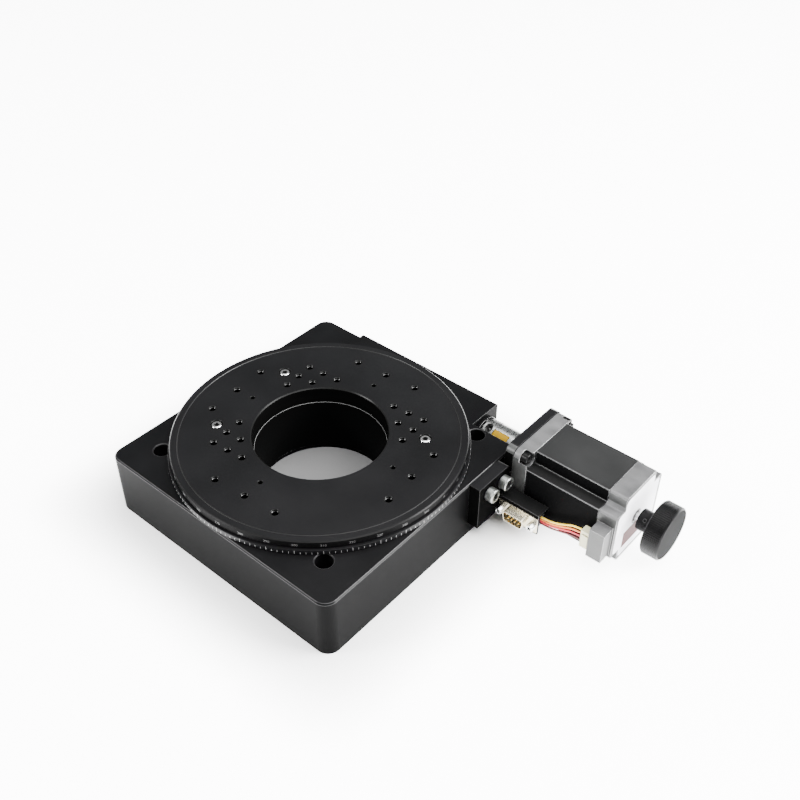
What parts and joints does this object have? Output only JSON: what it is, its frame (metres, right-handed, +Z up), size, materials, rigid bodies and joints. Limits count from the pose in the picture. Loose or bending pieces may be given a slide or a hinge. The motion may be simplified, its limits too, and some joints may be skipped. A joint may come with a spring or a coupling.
{
  "type": "motorized rotary stage",
  "caption": "Motorized rotary stage: a round table with a wide centre aperture on a square base, turned by a worm gear from a stepper motor with a hand knob at its rear.",
  "frame": {"origin": "on the table's axis, in the plane the base stands on", "axes": "+Z up along the table's axis, +X along the worm and motor axis towards the hand knob"},
  "size_m": [0.3181, 0.2257, 0.0576],
  "materials": {
    "black_anodised": "satin black anodised",
    "bare_aluminium": "bright machined",
    "ground_steel": "ground",
    "plated_screw": "bright plated",
    "black_screw": "black oxide",
    "black_laminations": "satin black paint",
    "bronze": "hobbed",
    "yellow_spider": "matte",
    "black_sheet": "satin black paint",
    "white_plastic": "moulded",
    "black_plastic": "moulded",
    "lead_red": "smooth",
    "lead_orange": "smooth",
    "lead_yellow": "smooth",
    "lead_brown": "smooth"
  },
  "bodies": {
    "base": {"base_housing": "black_anodised", "outer_race": "ground_steel", "race_clamp_ring": "black_anodised", "worm_bearing_left_outer": "ground_steel", "worm_bearing_right_outer": "ground_steel", "worm_end_cap": "black_anodised", "motor_bracket": "black_anodised", "bracket_foot_screws": "plated_screw", "motor_front_bell": "bare_aluminium", "motor_flange_screws": "black_screw", "stator_stack": "black_laminations", "motor_rear_bell": "bare_aluminium", "motor_socket": "black_plastic", "motor_plug": "white_plastic", "motor_bearing_front_outer": "ground_steel", "motor_bearing_rear_outer": "ground_steel", "connector_bracket": "black_sheet", "connector_shell": "plated_screw", "connector_insert": "black_plastic", "connector_jack_screws": "plated_screw", "connector_hood": "black_plastic", "motor_lead_red": "lead_red", "motor_lead_orange": "lead_orange", "motor_lead_yellow": "lead_yellow", "motor_lead_brown": "lead_brown"},
    "table": {"rotor_hub": "black_anodised", "inner_race": "ground_steel", "spindle_nut": "ground_steel", "table_top": "black_anodised", "table_screws": "plated_screw", "scale_ring": "black_anodised", "worm_wheel": "bronze"},
    "worm": {"worm_shaft": "ground_steel", "worm_bearing_left_inner": "ground_steel", "worm_bearing_right_inner": "ground_steel", "worm_locknut": "ground_steel", "coupling_hub_worm": "bare_aluminium", "coupling_hub_motor": "bare_aluminium", "coupling_spider": "yellow_spider", "motor_shaft": "ground_steel", "motor_rotor": "ground_steel", "motor_bearing_front_inner": "ground_steel", "motor_bearing_rear_inner": "ground_steel", "hand_knob": "black_anodised"}
  },
  "joints": [
    {"name": "table_spin", "type": "hinge", "parent": "base", "child": "table", "pos_m": [0, 0, 0], "axis": [0, 0, 1], "continuous": true},
    {"name": "worm_spin", "type": "hinge", "parent": "base", "child": "worm", "pos_m": [0, 0.096, 0.0286], "axis": [1, 0, 0], "continuous": true}
  ],
  "couplings": [
    {"joint": "worm_spin", "follows": "table_spin", "ratio": 180}
  ]
}
